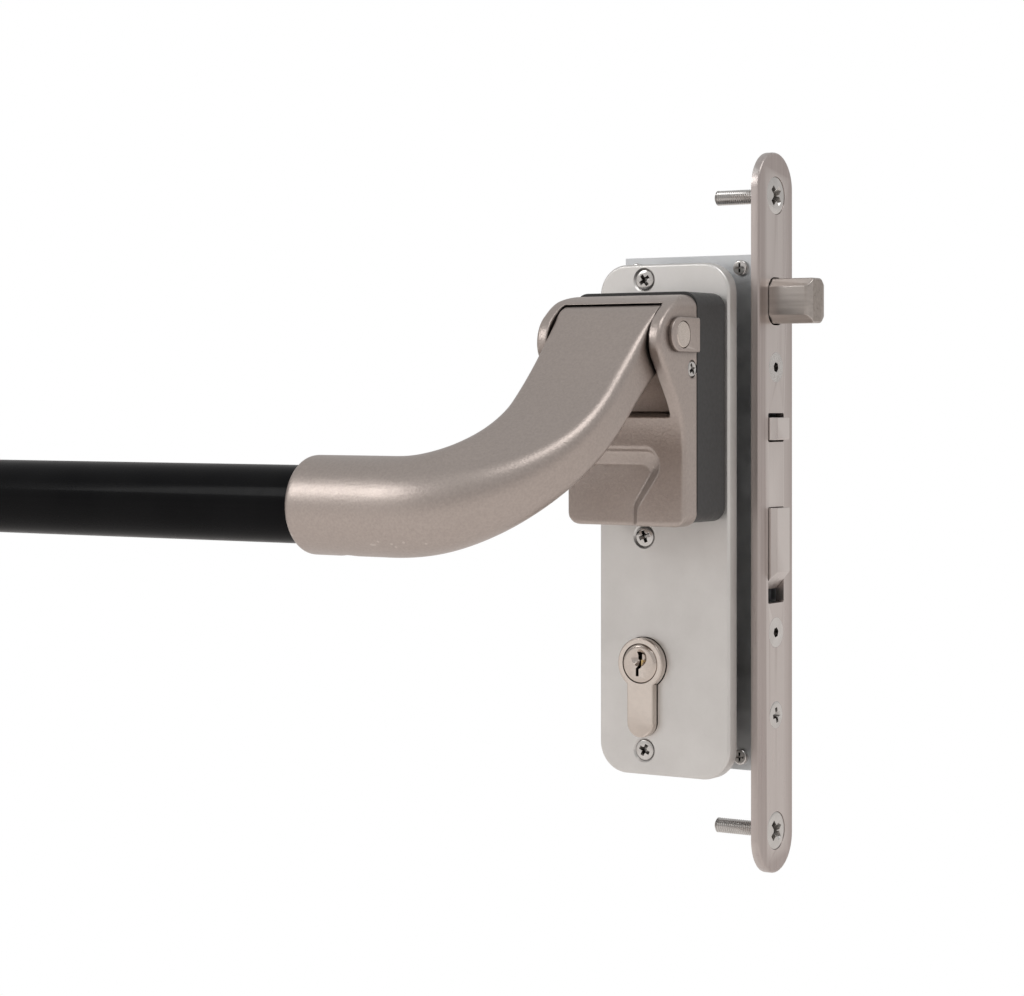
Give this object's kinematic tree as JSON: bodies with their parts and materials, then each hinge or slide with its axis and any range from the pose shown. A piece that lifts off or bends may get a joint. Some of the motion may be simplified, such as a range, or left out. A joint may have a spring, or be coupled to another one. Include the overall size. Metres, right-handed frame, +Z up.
{
  "type": "panic exit bar",
  "caption": "Crossbar panic exit device: black push bar on two curved cast arms, hinged brackets, drive box, mortice lock with deadbolt, latches and profile cylinder.",
  "frame": {"origin": "centre of the lock-side backplate's back face, which lies on the door face", "axes": "+X along the push bar towards the lock edge of the door, +Y out of the device's back into the door, +Z up"},
  "size_m": [0.8502, 0.1535, 0.238],
  "materials": {
    "cast_nickel": "satin, fine cast texture",
    "satin_aluminium": "satin anodised",
    "black_paint": "semi-matt black powder coat",
    "gloss_black": "gloss black",
    "brushed_stainless": "brushed",
    "zinc_steel": "bright zinc plate",
    "bright_steel": "bright nickel plate",
    "spring_steel": "plain drawn wire",
    "nickel": "satin nickel plate",
    "brass": "plain"
  },
  "bodies": {
    "door_side": {"lock_backplate": "satin_aluminium", "lock_plate_screws": "bright_steel", "drive_box": "black_paint", "box_screws_lock_side": "bright_steel", "housing_lock_side": "cast_nickel", "pivot_pin_lock_side": "nickel", "pin_caps_lock_side": "cast_nickel", "housing_side_screws_lock_side": "bright_steel", "return_spring_lock_side": "spring_steel", "slider_spring": "spring_steel", "forend": "brushed_stainless", "forend_screws": "bright_steel", "forend_case_screws": "bright_steel", "lock_case": "zinc_steel", "lock_case_cover": "zinc_steel", "case_pillars": "zinc_steel", "cover_screws": "bright_steel", "aux_latch_stop": "zinc_steel", "aux_latch_spring": "spring_steel", "latch_spring": "spring_steel", "cylinder_body": "nickel", "cylinder_fixing_screw": "bright_steel", "hinge_backplate": "satin_aluminium", "hinge_plate_screws": "bright_steel", "hinge_box": "black_paint", "box_screws_hinge_side": "bright_steel", "housing_hinge_side": "cast_nickel", "pivot_pin_hinge_side": "nickel", "pin_caps_hinge_side": "cast_nickel", "housing_side_screws_hinge_side": "bright_steel", "return_spring_hinge_side": "spring_steel"},
    "push_bar": {"arm_lock_side": "cast_nickel", "arm_hinge_side": "cast_nickel", "arm_bushes_lock_side": "brass", "arm_bushes_hinge_side": "brass", "crossbar_tube": "gloss_black", "crossbar_inserts": "zinc_steel", "bar_clamp_screw_lock_side": "bright_steel", "bar_clamp_screw_hinge_side": "bright_steel"},
    "drive_slider": {"drive_slider": "zinc_steel"},
    "spindle_set": {"drive_crank": "zinc_steel", "spindle": "zinc_steel", "follower": "zinc_steel"},
    "bolt_carriage": {"bolt_carriage": "zinc_steel", "carriage_rivets": "zinc_steel", "deadbolt": "brushed_stainless"},
    "latch_bolt": {"latch_bolt": "brushed_stainless"},
    "aux_latch": {"aux_latch": "brushed_stainless"},
    "front_plug": {"cylinder_front_plug": "nickel", "cylinder_cam": "brass"},
    "rear_plug": {"cylinder_rear_plug": "nickel"}
  },
  "joints": [
    {"name": "bar_push", "type": "hinge", "parent": "door_side", "child": "push_bar", "pos_m": [0, -0.0349, 0.0603], "axis": [1, 0, 0], "range_deg": [0, 25], "stiffness_Nm_per_rad": 3, "springref_deg": -34.38, "deforming": ["return_spring_lock_side", "return_spring_hinge_side"]},
    {"name": "slider_lift", "type": "slide", "parent": "door_side", "child": "drive_slider", "axis": [0, 0, 1], "range_m": [0, 0.0075], "deforming": ["slider_spring"]},
    {"name": "spindle_turn", "type": "hinge", "parent": "door_side", "child": "spindle_set", "pos_m": [-0.0074, 0, 0.0375], "axis": [0, -1, 0], "range_deg": [0, 36.5]},
    {"name": "deadbolt_slide", "type": "slide", "parent": "door_side", "child": "bolt_carriage", "axis": [-1, 0, 0], "range_m": [0, 0.0159]},
    {"name": "latch_slide", "type": "slide", "parent": "door_side", "child": "latch_bolt", "axis": [-1, 0, 0], "range_m": [0, 0.0025], "deforming": ["latch_spring"]},
    {"name": "aux_latch_slide", "type": "slide", "parent": "door_side", "child": "aux_latch", "axis": [-1, 0, 0], "range_m": [0, 0.0023], "stiffness_N_per_m": 300, "springref_m": -0.002, "deforming": ["aux_latch_spring"]},
    {"name": "front_plug_turn", "type": "hinge", "parent": "door_side", "child": "front_plug", "pos_m": [-0.0074, 0, -0.0475], "axis": [0, 1, 0], "continuous": true},
    {"name": "rear_plug_turn", "type": "hinge", "parent": "door_side", "child": "rear_plug", "pos_m": [-0.0074, 0.03, -0.0475], "axis": [0, 1, 0], "continuous": true}
  ],
  "couplings": [
    {"joint": "slider_lift", "follows": "bar_push", "m_per_rad": 0.017},
    {"joint": "spindle_turn", "follows": "bar_push", "ratio": 1.4402},
    {"joint": "deadbolt_slide", "follows": "bar_push", "m_per_rad": 0.036211},
    {"joint": "latch_slide", "follows": "bar_push", "m_per_rad": 0.0055004}
  ]
}
